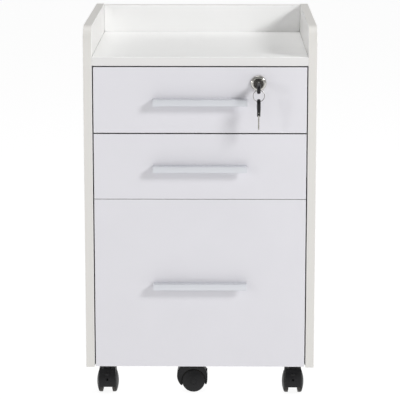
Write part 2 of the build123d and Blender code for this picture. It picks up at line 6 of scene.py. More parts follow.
import bmesh
import bpy
import numpy as np
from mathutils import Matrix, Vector


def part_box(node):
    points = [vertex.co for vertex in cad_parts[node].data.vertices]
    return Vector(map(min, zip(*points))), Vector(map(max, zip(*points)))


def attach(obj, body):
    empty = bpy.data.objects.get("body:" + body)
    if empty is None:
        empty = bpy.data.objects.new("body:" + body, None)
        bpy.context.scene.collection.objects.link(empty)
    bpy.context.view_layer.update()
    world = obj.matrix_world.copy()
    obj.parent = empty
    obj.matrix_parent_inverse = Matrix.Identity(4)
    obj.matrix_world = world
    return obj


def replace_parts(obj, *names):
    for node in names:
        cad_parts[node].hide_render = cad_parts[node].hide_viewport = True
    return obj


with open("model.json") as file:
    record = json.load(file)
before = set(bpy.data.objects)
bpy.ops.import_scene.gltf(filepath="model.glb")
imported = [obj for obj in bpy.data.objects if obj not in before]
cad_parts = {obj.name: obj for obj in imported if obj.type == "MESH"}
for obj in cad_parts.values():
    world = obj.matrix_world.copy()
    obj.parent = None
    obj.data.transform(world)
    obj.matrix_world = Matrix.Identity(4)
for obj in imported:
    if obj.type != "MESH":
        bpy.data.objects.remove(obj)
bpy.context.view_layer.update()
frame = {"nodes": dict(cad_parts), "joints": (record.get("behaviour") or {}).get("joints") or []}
nodes = frame["nodes"]
joints = {joint["name"]: joint for joint in frame["joints"]}
print("frame loaded,", len(nodes), "nodes")

mm = 0.001
tau = 2 * math.pi
drawerNames = ("top_drawer", "middle_drawer", "bottom_drawer")
casterNames = (
    "front_left_caster",
    "front_right_caster",
    "rear_left_caster",
    "rear_right_caster",
    "drawer_caster",
)


# Colours and nodes

def linearFromHex(code, shade=1.0):
    # sRGB to linear: below 0.04045 a straight line, above it a power of 2.4; shade lightens or darkens
    parts = np.array([int(code[i:i + 2], 16) / 255 for i in (0, 2, 4)])
    low = parts / 12.92
    high = ((parts + 0.055) / 1.055) ** 2.4
    return (*np.minimum(np.where(parts <= 0.04045, low, high) * shade, 1.0), 1.0)


def addNode(material, kind, inputs=None, **settings):
    # one node: its settings are attributes, its inputs are values or other nodes' outputs
    tree = material.node_tree
    node = tree.nodes.new(kind)
    for key, value in settings.items():
        setattr(node, key, value)
    for key, value in (inputs or {}).items():
        socket = node.inputs[key]
        if isinstance(value, bpy.types.NodeSocket):
            tree.links.new(value, socket)
        else:
            socket.default_value = value
    return node


def newMaterial(name):
    # an empty material and its coordinates: Object is the point in metres, Normal the way it faces
    material = bpy.data.materials.new(name)
    material.use_nodes = True
    material.node_tree.nodes.clear()
    return material, addNode(material, "ShaderNodeTexCoord").outputs


def finishMaterial(material, inputs):
    shader = addNode(material, "ShaderNodeBsdfPrincipled", inputs)
    addNode(material, "ShaderNodeOutputMaterial", {"Surface": shader.outputs[0]})
    return material


# Boards

boardLook = {
    "pearlMm": 1.6,  # real pearl texture is about 0.4, drawn coarser so that it shows
    "pearlDepthMm": 0.03,
    "mottleMm": 70,
    "mottleShades": (0.975, 1.02),
    "roughness": (0.37, 0.48),
    # painted highlight on the rounded arris: the white it is lightened towards, and how strongly
    "arrisHex": "FFFFFF",
    "arrisFacing": 0.62,  # how squarely the middle of the arris faces, from 0 to 1
    "arrisHighlight": 0.6,
    "creviceMm": 9.0,
}
fibreLook = {"fibreMm": 2.2, "fibreLengthMm": 6.6, "depthMm": 0.04, "roughness": 0.56}


def melamineBoard(name, faceHex, edgeHex, faceAxis, paintedShade=0.16, reach=0.46):
    # melamine-faced board: hard resin film with a pearl texture that spreads highlights softly, smooth
    # plastic edging in a slightly other white, its arris lightened as a painted highlight, and painted
    # shade in the narrow gaps, darkened to the shade given wherever their openness is below reach
    material, coordinates = newMaterial(name)
    place, normal = coordinates["Object"], coordinates["Normal"]
    look = boardLook
    axis = [1.0 if letter == faceAxis else 0.0 for letter in "XYZ"]
    dot = addNode(material, "ShaderNodeVectorMath", {0: normal, 1: axis}, operation="DOT_PRODUCT")
    squarely = addNode(material, "ShaderNodeMath", {0: dot.outputs["Value"]}, operation="ABSOLUTE")
    facing = squarely.outputs[0]
    isFace = addNode(material, "ShaderNodeMapRange", {"Value": facing, "From Min": 0.55, "From Max": 0.75})
    dim, bright = look["mottleShades"]
    scale = 1 / (look["mottleMm"] * mm)
    mottle = addNode(material, "ShaderNodeTexNoise", {"Vector": place, "Scale": scale, "Detail": 3.0})
    face = addNode(
        material,
        "ShaderNodeMix",
        {"Factor": mottle.outputs[0], 6: linearFromHex(faceHex, dim), 7: linearFromHex(faceHex, bright)},
        data_type="RGBA",
    )
    board = addNode(
        material,
        "ShaderNodeMix",
        {"Factor": isFace.outputs[0], 6: linearFromHex(edgeHex), 7: face.outputs[2]},
        data_type="RGBA",
    )
    # the arris turns between face and edge: lightened as a painted highlight half way round, and not on the
    # flats
    past = addNode(material, "ShaderNodeMath", {0: facing, 1: look["arrisFacing"]}, operation="SUBTRACT")
    away = addNode(material, "ShaderNodeMath", {0: past.outputs[0]}, operation="ABSOLUTE")
    arris = addNode(
        material,
        "ShaderNodeMapRange",
        {
            "Value": away.outputs[0],
            "From Min": 0.2,
            "From Max": 0.36,
            "To Min": look["arrisHighlight"],
            "To Max": 0.0,
        },
    )
    highlighted = addNode(
        material,
        "ShaderNodeMix",
        {"Factor": arris.outputs[0], 6: board.outputs[2], 7: linearFromHex(look["arrisHex"])},
        data_type="RGBA",
    )
    # painted shade: where ambient occlusion finds a narrow gap, the colour darkens towards a shade of the
    # face white
    crevice = addNode(
        material, "ShaderNodeAmbientOcclusion", {"Distance": look["creviceMm"] * mm}, samples=16
    )
    clear = addNode(
        material, "ShaderNodeMapRange", {"Value": crevice.outputs["AO"], "From Min": 0.2, "From Max": reach}
    )
    colour = addNode(
        material,
        "ShaderNodeMix",
        {"Factor": clear.outputs[0], 6: linearFromHex(faceHex, paintedShade), 7: highlighted.outputs[2]},
        data_type="RGBA",
    )
    scale = 1 / (look["pearlMm"] * mm)
    pearl = addNode(material, "ShaderNodeTexNoise", {"Vector": place, "Scale": scale, "Detail": 3.0})
    rough = addNode(
        material,
        "ShaderNodeMapRange",
        {
            "Value": pearl.outputs[0],
            "From Min": 0.3,
            "From Max": 0.7,
            "To Min": look["roughness"][0],
            "To Max": look["roughness"][1],
        },
    )
    bump = addNode(
        material,
        "ShaderNodeBump",
        {"Height": pearl.outputs[0], "Distance": look["pearlDepthMm"] * mm, "Strength": 0.35},
    )
    return finishMaterial(material, {
        "Base Color": colour.outputs[2],
        "Roughness": rough.outputs[0],
        "Normal": bump.outputs[0],
        "IOR": 1.5,
    })


def lacqueredFibreboard(name, hexCode):
    # thin fibreboard with a white lacquer: flatter sheen, with the fibres just telling through
    material, coordinates = newMaterial(name)
    place = coordinates["Object"]
    look = fibreLook
    across, along = 1 / (look["fibreMm"] * mm), 1 / (look["fibreLengthMm"] * mm)
    drawn = addNode(material, "ShaderNodeMapping", {"Vector": place, "Scale": (along, across, along)})
    fibres = addNode(
        material, "ShaderNodeTexNoise", {"Vector": drawn.outputs[0], "Scale": 1.0, "Detail": 5.0}
    )
    colour = addNode(
        material,
        "ShaderNodeMix",
        {"Factor": fibres.outputs[0], 6: linearFromHex(hexCode, shade=0.94), 7: linearFromHex(hexCode)},
        data_type="RGBA",
    )
    bump = addNode(
        material,
        "ShaderNodeBump",
        {"Height": fibres.outputs[0], "Distance": look["depthMm"] * mm, "Strength": 0.4},
    )
    return finishMaterial(material, {
        "Base Color": colour.outputs[2],
        "Roughness": look["roughness"],
        "Normal": bump.outputs[0],
        "IOR": 1.48,
    })


# Metals and plastics

def brushedAluminium(name, hexCode, metallic, roughness):
    # satin anodised aluminium, brushed along its length: a milky oxide over the metal, and fine lines
    # in X, about 0.5 mm apart and 30 mm long, that draw out the highlights
    material, coordinates = newMaterial(name)
    place = coordinates["Object"]
    lineMm, lengthMm, depthMm, spread = 0.5, 30, 0.012, 0.1
    scale = (1 / (lengthMm * mm), 1 / (lineMm * mm), 1 / (lineMm * mm))
    drawn = addNode(material, "ShaderNodeMapping", {"Vector": place, "Scale": scale})
    lines = addNode(
        material, "ShaderNodeTexNoise", {"Vector": drawn.outputs[0], "Scale": 1.0, "Detail": 4.0}
    )
    colour = addNode(
        material,
        "ShaderNodeMix",
        {"Factor": lines.outputs[0], 6: linearFromHex(hexCode, shade=0.93), 7: linearFromHex(hexCode)},
        data_type="RGBA",
    )
    rough = addNode(
        material,
        "ShaderNodeMapRange",
        {"Value": lines.outputs[0], "To Min": roughness - spread, "To Max": roughness + spread},
    )
    bump = addNode(
        material,
        "ShaderNodeBump",
        {"Height": lines.outputs[0], "Distance": depthMm * mm, "Strength": 0.5},
    )
    return finishMaterial(material, {
        "Base Color": colour.outputs[2],
        "Metallic": metallic,
        "Roughness": rough.outputs[0],
        "Anisotropic": 0.4,
        "Normal": bump.outputs[0],
    })


def brightNickel(name, hexCode, roughness):
    # nickel plate on zinc: near mirror, with rubbed patches some 4 mm wide and fine polishing marks
    material, coordinates = newMaterial(name)
    place = coordinates["Object"]
    rubbedMm, markMm, depthMm, rougher = 4.0, 0.35, 0.004, 0.1
    rubbed = addNode(
        material, "ShaderNodeTexNoise", {"Vector": place, "Scale": 1 / (rubbedMm * mm), "Detail": 4.0}
    )
    marks = addNode(material, "ShaderNodeTexNoise", {"Vector": place, "Scale": 1 / (markMm * mm)})
    colour = addNode(
        material,
        "ShaderNodeMix",
        {"Factor": rubbed.outputs[0], 6: linearFromHex(hexCode, shade=0.88), 7: linearFromHex(hexCode)},
        data_type="RGBA",
    )
    rough = addNode(
        material,
        "ShaderNodeMapRange",
        {
            "Value": rubbed.outputs[0],
            "From Min": 0.35,
            "From Max": 0.7,
            "To Min": roughness,
            "To Max": roughness + rougher,
        },
    )
    bump = addNode(
        material, "ShaderNodeBump", {"Height": marks.outputs[0], "Distance": depthMm * mm, "Strength": 0.3}
    )
    return finishMaterial(material, {
        "Base Color": colour.outputs[2],
        "Metallic": 1.0,
        "Roughness": rough.outputs[0],
        "Normal": bump.outputs[0],
    })


def zincPlate(name, hexCode):
    # bright zinc on rolled steel: a cloudy grey with spangle cells of about 6 mm and rolling lines in Y
    material, coordinates = newMaterial(name)
    place = coordinates["Object"]
    spangleMm, cloudMm, lineMm, lengthMm, depthMm = 6.0, 9.0, 0.6, 24, 0.01
    cells = addNode(material, "ShaderNodeTexVoronoi", {"Vector": place, "Scale": 1 / (spangleMm * mm)})
    cloud = addNode(
        material, "ShaderNodeTexNoise", {"Vector": place, "Scale": 1 / (cloudMm * mm), "Detail": 4.0}
    )
    mixed = addNode(
        material,
        "ShaderNodeMath",
        {0: cells.outputs["Distance"], 1: cloud.outputs[0]},
        operation="MULTIPLY",
    )
    colour = addNode(
        material,
        "ShaderNodeMix",
        {"Factor": mixed.outputs[0], 6: linearFromHex(hexCode, shade=0.8), 7: linearFromHex(hexCode)},
        data_type="RGBA",
    )
    rough = addNode(
        material,
        "ShaderNodeMapRange",
        {"Value": cloud.outputs[0], "From Min": 0.3, "From Max": 0.7, "To Min": 0.28, "To Max": 0.44},
    )
    scale = (1 / (lineMm * mm), 1 / (lengthMm * mm), 1 / (lineMm * mm))
    drawn = addNode(material, "ShaderNodeMapping", {"Vector": place, "Scale": scale})
    lines = addNode(material, "ShaderNodeTexNoise", {"Vector": drawn.outputs[0], "Scale": 1.0})
    bump = addNode(
        material, "ShaderNodeBump", {"Height": lines.outputs[0], "Distance": depthMm * mm, "Strength": 0.4}
    )
    return finishMaterial(material, {
        "Base Color": colour.outputs[2],
        "Metallic": 1.0,
        "Roughness": rough.outputs[0],
        "Normal": bump.outputs[0],
    })


def mouldedPlastic(name, hexCode, scuffHex, roughness, grainMm, scuffed=0.6):
    # injection-moulded plastic: an even satin with a spark-eroded grain, scuffed lighter in patches
    material, coordinates = newMaterial(name)
    place = coordinates["Object"]
    patchMm, depthMm, smoother, rougher = 14.0, 0.02, 0.06, 0.08
    grain = addNode(material, "ShaderNodeTexNoise", {"Vector": place, "Scale": 1 / (grainMm * mm)})
    patches = addNode(
        material, "ShaderNodeTexNoise", {"Vector": place, "Scale": 1 / (patchMm * mm), "Detail": 3.0}
    )
    scuff = addNode(
        material,
        "ShaderNodeMapRange",
        {"Value": patches.outputs[0], "From Min": 0.4, "From Max": 0.75, "To Max": scuffed},
    )
    colour = addNode(
        material,
        "ShaderNodeMix",
        {"Factor": scuff.outputs[0], 6: linearFromHex(hexCode), 7: linearFromHex(scuffHex)},
        data_type="RGBA",
    )
    rough = addNode(
        material,
        "ShaderNodeMapRange",
        {
            "Value": patches.outputs[0],
            "From Min": 0.3,
            "From Max": 0.7,
            "To Min": roughness - smoother,
            "To Max": roughness + rougher,
        },
    )
    bump = addNode(
        material, "ShaderNodeBump", {"Height": grain.outputs[0], "Distance": depthMm * mm, "Strength": 0.35}
    )
    return finishMaterial(material, {
        "Base Color": colour.outputs[2],
        "Roughness": rough.outputs[0],
        "Normal": bump.outputs[0],
        "IOR": 1.49,
        "Specular IOR Level": 0.32,
    })


# one white melamine throughout: its face and edge whites are set lighter or darker board by board as
# painted light and shade for how the light falls on each
sideBoard = melamineBoard("melamine side board", "F0EFED", "E1DFDB", "X", paintedShade=0.03)
topBoard = melamineBoard("melamine top board", "F8F8F7", "E6E5E4", "Z", paintedShade=0.7)
flatBoard = melamineBoard("melamine bottom board", "EBEBEA", "E6E5E4", "Z")
backBoard = melamineBoard("melamine back board", "FEFEFD", "E2E0DC", "Y", paintedShade=0.8)
frontBoard = melamineBoard("melamine drawer front", "E2E1E6", "DAD9DD", "Y", paintedShade=0.02, reach=0.5)
boxSideBoard = melamineBoard("melamine drawer side", "E6E5E3", "E1E0DD", "X")
boxBackBoard = melamineBoard("melamine drawer back", "E6E5E3", "E1E0DD", "Y")
baseBoard = lacqueredFibreboard("lacquered fibreboard", "E4E2DE")
satinAluminium = brushedAluminium("satin anodised aluminium", "DEE0E5", metallic=0.45, roughness=0.46)
millAluminium = brushedAluminium("mill aluminium", "C9CACC", metallic=0.85, roughness=0.4)
nickel = brightNickel("bright nickel", "D4D2CD", roughness=0.1)
darkNickel = brightNickel("smoked nickel", "5E5C59", roughness=0.24)
ringSteel = brightNickel("spring steel wire", "A19F9A", roughness=0.2)
keySteel = brightNickel("nickel-plated brass key", "BFBDB6", roughness=0.34)
zinc = zincPlate("zinc-plated steel", "B9BBBC")
nylon = mouldedPlastic("black nylon", "0E0E10", "19191B", roughness=0.46, grainMm=0.9)
treadNylon = mouldedPlastic(
    "scuffed nylon tread", "2A2826", "55504A", roughness=0.6, grainMm=0.7, scuffed=1.0
)
keyAbs = mouldedPlastic("black ABS", "141416", "232326", roughness=0.34, grainMm=0.5)

dressing = [  # the first ending that fits a node's name gives its material
    ("side_panel", sideBoard),
    ("top_panel", topBoard),
    ("bottom_panel", flatBoard),
    ("caster_block", flatBoard),
    ("back_panel", backBoard),
    ("_front", frontBoard),
    ("_sides", boxSideBoard),
    ("_back", boxBackBoard),
    ("_base", baseBoard),
    ("_handle", satinAluminium),
    ("file_rails", millAluminium),
    ("_wheel_a", nylon),
    ("_wheel_b", nylon),
    ("_hood", nylon),
    ("lock_plug", darkNickel),
    ("lock_rosette", nickel),
    ("lock_case", nickel),
    ("lock_bolt", nickel),
    ("key_ring", ringSteel),
    ("key_blade", keySteel),
    ("key_head", keyAbs),
    ("", zinc),
]
for node, obj in nodes.items():
    obj.data.materials.clear()
    obj.data.materials.append(next(material for ending, material in dressing if node.endswith(ending)))
print("materials on every node")


# Shapes worked out as grids of points

hairMm = 0.01  # too small to see, but it keeps round ends and cutters from folding on themselves


def gridFaces(rows, cols, wrapRows=False, wrapCols=False, first=0):
    # quads between neighbours on a grid of rows x cols points, numbered row by row
    r = np.arange(rows if wrapRows else rows - 1)
    c = np.arange(cols if wrapCols else cols - 1)
    r, c = (a.ravel() for a in np.meshgrid(r, c, indexing="ij"))
    nextR, nextC = (r + 1) % rows, (c + 1) % cols
    quads = np.stack([r * cols + c, r * cols + nextC, nextR * cols + nextC, nextR * cols + c], 1)
    return quads + first


def cleanMesh(mesh):
    # close poles and seams, and turn every face outwards
    weld, sliver = 2e-6, 1e-7
    work = bmesh.new()
    work.from_mesh(mesh)
    bmesh.ops.remove_doubles(work, verts=work.verts, dist=weld)
    bmesh.ops.dissolve_degenerate(work, edges=work.edges, dist=sliver)
    bmesh.ops.recalc_face_normals(work, faces=work.faces)
    work.to_mesh(mesh)
    work.free()
    return mesh


def meshOf(name, shells):
    # each shell is (points, wrapRows, wrapCols, capped): a grid, and whether its end columns are filled
    points, faces, first = [], [], 0
    for grid, wrapRows, wrapCols, capped in shells:
        rows, cols = grid.shape[:2]
        points.append(grid.reshape(-1, 3))
        faces += gridFaces(rows, cols, wrapRows, wrapCols, first).tolist()
        if capped:
            ends = first + np.arange(rows) * cols
            faces += [ends.tolist(), (ends + cols - 1)[::-1].tolist()]
        first += rows * cols
    mesh = bpy.data.meshes.new(name)
    mesh.from_pydata(np.concatenate(points).tolist(), [], faces)
    return cleanMesh(mesh)


def cutAway(mesh, cutters):
    # the mesh less the closed shells given: slots and holes right through it
    whole = bpy.data.objects.new("whole", mesh)
    tool = bpy.data.objects.new("tool", meshOf("tool", cutters))
    for obj in (whole, tool):
        bpy.context.scene.collection.objects.link(obj)
    cut = whole.modifiers.new("cut", "BOOLEAN")
    cut.operation = "DIFFERENCE"
    cut.solver = "EXACT"
    cut.object = tool
    result = bpy.data.meshes.new_from_object(whole.evaluated_get(bpy.context.evaluated_depsgraph_get()))
    for obj in (whole, tool):
        bpy.data.objects.remove(obj)
    return result


def finishPiece(name, mesh, material, body, sharpDegrees=35):
    # smooth shading, with only the true edges left sharp
    cleanMesh(mesh)
    mesh.shade_smooth()
    mesh.set_sharp_from_angle(angle=math.radians(sharpDegrees))
    mesh.materials.clear()
    mesh.materials.append(material)
    piece = bpy.data.objects.new(name, mesh)
    bpy.context.scene.collection.objects.link(piece)
    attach(piece, body)
    return piece


def frameAlong(axis):
    # three directions, the last one along the axis
    nearlyUpright = 0.9
    w = np.array(axis, float) / np.linalg.norm(axis)
    u = np.cross(w, (0.0, 0.0, 1.0) if abs(w[2]) < nearlyUpright else (0.0, 1.0, 0.0))
    u /= np.linalg.norm(u)
    return u, np.cross(w, u), w


def lathe(profileMm, centre, axis, steps=72, closed=False):
    # profile points (along, radius) carried round an axis: centre + along w + radius (cos t u + sin t v)
    u, v, w = frameAlong(axis)
    profile = np.array(profileMm, float) * mm
    turn = np.linspace(0, tau, steps, endpoint=False)
    ring = np.cos(turn)[:, None] * u + np.sin(turn)[:, None] * v
    grid = np.array(centre) + profile[None, :, :1] * w + profile[None, :, 1:] * ring[:, None, :]
    return grid, True, closed, False


def roundedPath(cornersMm, radiiMm, perCorner=6):
    # a closed outline whose corners are arcs: each arc touches its two sides at r / tan(half the angle)
    corners = np.array(cornersMm, float)
    out = []
    for i, radius in enumerate(radiiMm):
        here, before, after = corners[i], corners[i - 1], corners[(i + 1) % len(corners)]
        a, b = before - here, after - here
        a, b = a / np.linalg.norm(a), b / np.linalg.norm(b)
        if radius <= 0:
            out.append(here[None])
            continue
        half = math.acos(np.clip(np.dot(a, b), -1, 1)) / 2
        middle = here + (a + b) / np.linalg.norm(a + b) * radius / math.sin(half)
        start = here + a * radius / math.tan(half) - middle
        end = here + b * radius / math.tan(half) - middle
        t = np.linspace(0, 1, perCorner)[:, None]
        arc = start * (1 - t) + end * t
        out.append(middle + arc / np.linalg.norm(arc, axis=1)[:, None] * radius)
    return np.concatenate(out)


def prism(outlineMm, lowMm, highMm, easeMm, centre, along, across, up):
    # an outline (across, up) carried from low to high along an axis, its end edges eased by a quarter round
    outline = np.array(outlineMm, float)
    edge = np.roll(outline, -1, 0) - np.roll(outline, 1, 0)
    area = np.sum(outline[:, 0] * np.roll(outline[:, 1], -1) - outline[:, 1] * np.roll(outline[:, 0], -1))
    inward = np.stack([-edge[:, 1], edge[:, 0]], 1) * np.sign(area)
    inward /= np.linalg.norm(inward, axis=1)[:, None]
    easeSteps = 5
    quarter = np.linspace(0, math.pi / 2, easeSteps)
    inset = easeMm * (1 - np.sin(quarter))
    depth = easeMm * (1 - np.cos(quarter))
    places = np.concatenate([lowMm + depth, (highMm - depth)[::-1]])
    insets = np.concatenate([inset, inset[::-1]])
    flat = outline[:, None, :] + inward[:, None, :] * insets[None, :, None]
    grid = (
        np.array(centre)
        + flat[..., :1] * mm * np.array(across)
        + flat[..., 1:] * mm * np.array(up)
        + places[None, :, None] * mm * np.array(along)
    )
    return grid, True, False, True


screwShape = {  # shares of the head's radius or height
    "topEdge": 0.93,
    "rim": 0.975,
    "crownFall": 0.22,
    "rimFall": 0.25,
    "armReach": 0.55,
    "armHalf": 0.195,
    "armWall": 0.13,
    "armEnd": 0.165,
    "dip": 0.6,
}


def crossHead(centre, axis, radiusMm, heightMm, dipMm=None, domed=True, steps=32):
    # a screw head as a height over a disc, less a cross with sloping walls, then its rim; the top is
    # flat, or domed as 1 - crownFall d ** 2 - rimFall d ** 16, d from 0 in the middle to 1 at the rim
    shape = screwShape
    u, v, w = frameAlong(axis)
    d = np.concatenate([np.linspace(0, shape["topEdge"], 13), [shape["rim"], 1.0, 1.0]])
    turn = np.linspace(0, tau, steps, endpoint=False)
    x, y = d[None] * np.cos(turn)[:, None], d[None] * np.sin(turn)[:, None]
    fall = shape["crownFall"] * d ** 2 + shape["rimFall"] * d ** 16 if domed else 0 * d
    near, far = np.minimum(abs(x), abs(y)), np.maximum(abs(x), abs(y))
    sides = np.clip((shape["armHalf"] - near) / shape["armWall"], 0, 1)
    ends = np.clip((shape["armReach"] - far) / shape["armEnd"], 0, 1)
    deepest = shape["dip"] * heightMm if dipMm is None else dipMm
    height = heightMm * (1 - fall)[None] - deepest * sides * ends
    height[:, -1] = 0
    x, y = x * radiusMm, y * radiusMm
    grid = np.array(centre) + mm * (x[..., None] * u + y[..., None] * v + height[..., None] * w)
    return grid, True, False, False


def cornersOf(node):
    return tuple(np.array(corner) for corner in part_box(node))


def middleOf(node):
    return sum(cornersOf(node)) / 2


# Pulls: one profile carried along X, with eased edges, and two screws from inside

pullShape = {
    "seatRoundMm": 0.2,
    "footRoundMm": 0.4,
    "innerRoundMm": 0.6,
    "gripRoundMm": 0.7,
    "lipRoundMm": 1.1,
    "wallMm": 2.0,
    "legMm": 9.0,
    "legWallMm": 2.5,
    "easeMm": 0.5,
    "screwSpacingMm": 128.0,
    "headMm": 4.0,
    "headRiseMm": 2.4,
    "shankMm": 2.0,
    "shankLengthMm": 17.5,
}


def makePull(drawer):
    node = drawer + "_handle"
    low, high = cornersOf(node)
    face, behind = (corner[1] for corner in cornersOf(drawer + "_front"))
    deep, tall = (face - low[1]) / mm, (high[2] - low[2]) / mm
    shape = pullShape
    wall, leg, legWall = shape["wallMm"], shape["legMm"], shape["legWallMm"]
    # across runs forwards from the drawer front, up runs down from the top face
    corners = [
        (0, 0), (0, -leg), (legWall, -leg), (legWall, -wall),
        (deep - wall, -wall), (deep - wall, -tall), (deep, -tall), (deep, 0),
    ]
    seat, foot, inner, grip, lip = (
        shape[place + "RoundMm"] for place in ("seat", "foot", "inner", "grip", "lip")
    )
    outline = roundedPath(corners, [seat, seat, foot, inner, inner, grip, grip, lip])
    half = (high[0] - low[0]) / 2 / mm
    start = ((low[0] + high[0]) / 2, face, high[2])
    bar = prism(outline, -half, half, shape["easeMm"], start, (1, 0, 0), (0, -1, 0), (0, 0, 1))
    pull = finishPiece(drawer + "_pull", meshOf("pull", [bar]), satinAluminium, drawer, 30)
    heads = []
    shank, tip = shape["shankMm"], -shape["shankLengthMm"]
    for side in (-1, 1):
        at = (start[0] + side * shape["screwSpacingMm"] / 2 * mm, behind, high[2] - leg / 2 * mm)
        heads.append(crossHead(at, (0, 1, 0), shape["headMm"], shape["headRiseMm"]))
        heads.append(lathe([(0, 0), (0, shank), (tip, shank), (tip, 0)], at, (0, 1, 0), steps=24))
    screws = finishPiece(drawer + "_pull_screws", meshOf("screws", heads), zinc, drawer)
    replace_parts(pull, node)
    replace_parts(screws, node)


for drawer in drawerNames:
    makePull(drawer)
print("pulls")


# Slides: rolled channels with lightening holes, and their countersunk screws

slideShape = {
    "wallMm": 1.2,
    "cabinetMm": (0.0, 9.0),  # web and lips, from the side panel inwards
    "middleMm": (1.6, 11.1),
    "drawerMm": (12.7, 3.2),
    "bendMm": 2.4,
    "overMiddleMm": 1.6,
    "lipRoundMm": 0.4,
    "endEaseMm": 0.2,
    "holeLengthMm": 12.0,
    "holeHeightMm": 5.0,
    "holePitchMm": 64.0,
    "holeInsetMm": 72.0,
    "screwHeadMm": 3.4,
    "screwProudMm": 0.1,
    "screwDipMm": 1.0,
    "screwShankMm": 1.8,
    "screwLengthMm": 12.0,
}


def channel(side, low, high, webMm, openMm):
    # one channel, its C outline carried along Y, and the cutters for the holes through its web
    shape = slideShape
    panel = cornersOf("cabinet_rails")[1][0]
    at = np.array((side * panel, low[1], (low[2] + high[2]) / 2))
    inwards = (-side, 0, 0)
    tall, length = (high[2] - low[2]) / 2 / mm, (high[1] - low[1]) / mm
    wall = shape["wallMm"]
    step = wall if openMm > webMm else -wall
    corners = [
        (webMm, -tall), (openMm, -tall), (openMm, wall - tall), (webMm + step, wall - tall),
        (webMm + step, tall - wall), (openMm, tall - wall), (openMm, tall), (webMm, tall),
    ]
    bend, lip = shape["bendMm"], shape["lipRoundMm"]
    inner = bend - wall
    outline = roundedPath(corners, [bend, lip, lip, inner, inner, lip, lip, bend])
    bar = prism(outline, 0, length, shape["endEaseMm"], at, (0, 1, 0), inwards, (0, 0, 1))
    y, z = shape["holeLengthMm"] / 2, shape["holeHeightMm"] / 2
    oblong = roundedPath([(-y, -z), (y, -z), (y, z), (-y, z)], [z - hairMm] * 4)
    start, end = sorted((webMm - step, webMm + 2 * step))
    inset = shape["holeInsetMm"]
    holes = []
    for along in np.arange(inset, length - inset, shape["holePitchMm"]):
        middle = at + np.array((0, along * mm, 0))
        holes.append(prism(oblong, start, end, hairMm, middle, inwards, (0, 1, 0), (0, 0, 1)))
    return bar, holes


def makeSlides():
    shape = slideShape
    panel = cornersOf("cabinet_rails")[1][0]
    screwLow, screwHigh = cornersOf("slide_rail_screws")
    head, shank, tip = shape["screwHeadMm"], shape["screwShankMm"], -shape["screwLengthMm"]
    proud, dip = shape["screwProudMm"], shape["screwDipMm"]
    cabinet, screws = [], []
    for drawer in drawerNames:
        for node, (web, lips) in (
            (drawer + "_middle_rails", shape["middleMm"]),
            (drawer + "_rails", shape["drawerMm"]),
        ):
            low, high = cornersOf(node)
            pairs = [channel(side, low, high, web, lips) for side in (-1, 1)]
            mesh = meshOf(node, [bar for bar, holes in pairs])
            mesh = cutAway(mesh, [hole for bar, holes in pairs for hole in holes])
            body = node if "middle_rails" in node else drawer
            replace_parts(finishPiece(node + "_rolled", mesh, zinc, body), node)
        # the fixed channel wraps the middle one, which reaches less far up and down
        low, high = cornersOf(drawer + "_middle_rails")
        reach = np.array((0, 0, shape["overMiddleMm"] * mm))
        z = (low[2] + high[2]) / 2
        for side in (-1, 1):
            cabinet.append(channel(side, low - reach, high + reach, *shape["cabinetMm"])[0])
            for y in (screwLow[1] + head * mm, screwHigh[1] - head * mm):
                at = (side * (panel - shape["wallMm"] * mm), y, z)
                screws.append(crossHead(at, (-side, 0, 0), head, proud, dipMm=dip, domed=False))
                cone = [(0, head), (-shape["wallMm"], shank), (tip, shank), (tip, 0)]
                screws.append(lathe(cone, at, (-side, 0, 0), steps=32))
    rails = meshOf("rails", cabinet)
    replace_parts(finishPiece("cabinet_rails_rolled", rails, zinc, "case"), "cabinet_rails")
    heads = meshOf("screws", screws)
    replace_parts(finishPiece("slide_screws_cross", heads, zinc, "case"), "slide_rail_screws")


makeSlides()
print("slides")


# Lock: a domed ring turned from one profile, and folding keys with moulded heads on a split ring

lockShape = {
    "boreMm": 8.4,
    "lipMm": 0.5,
    "lipMiddleMm": (0.15, 0.12),
    "rimMm": 0.9,
    "grooveMm": 0.35,
    "grooveWallMm": 0.15,
    "grooveFloorMm": 0.2,
    "domeInsetMm": 1.3,
    "domePower": 2.6,
    "domeReach": 0.985,
    "backLandMm": 0.6,
    "backBoreMm": 10.0,
    "backDepthMm": 1.2,
    "faceBoreMm": 4.4,
    "faceLeadMm": 0.2,
    "faceSunkMm": 0.3,
    "faceProudMm": 0.25,
    "faceEdgeMm": 0.5,
    "faceChamferMm": 0.3,
    "faceGrooveMm": 0.3,
    "faceGrooveHalfMm": 0.3,
    "faceGrooveFloorMm": 0.15,
    "faceGroovesMm": (5.4, 6.5),
    "steps": 128,
}
keyShape = {
    "rootMm": 4.2,
    "endMm": 8.0,
    "endFromPivotMm": 18.2,
    "thicknessMm": 3.3,  # half of it, like the two below
    "waistMm": 2.9,
    "ringSideMm": 2.9,
    "waistEndMm": 4.0,
    "palmStartMm": 12.0,
    "palmEndMm": 17.0,
    "edgeMm": 1.6,
    "edgeFall": 0.85,
    "squareness": 4.5,
    "slotMm": 1.35,
    "slotPastRootMm": 2.0,
    "slotPastPivotMm": 4.4,
    "slotOpenMm": 16.0,
    "slotShutMm": 3.9,
    "rivetMm": 1.3,
    "studMm": 0.85,
    "studRiseMm": 0.3,
    "studDepthMm": 0.6,
    "studFromPivotMm": 3.0,
    "studUpMm": 0.7,
    "holeMm": 2.2,
    "holeFromPivotMm": 21.5,
    "wireMm": 0.5,
    "ringSpreadMm": 0.55,
    "ringCrossing": 6.0,
}


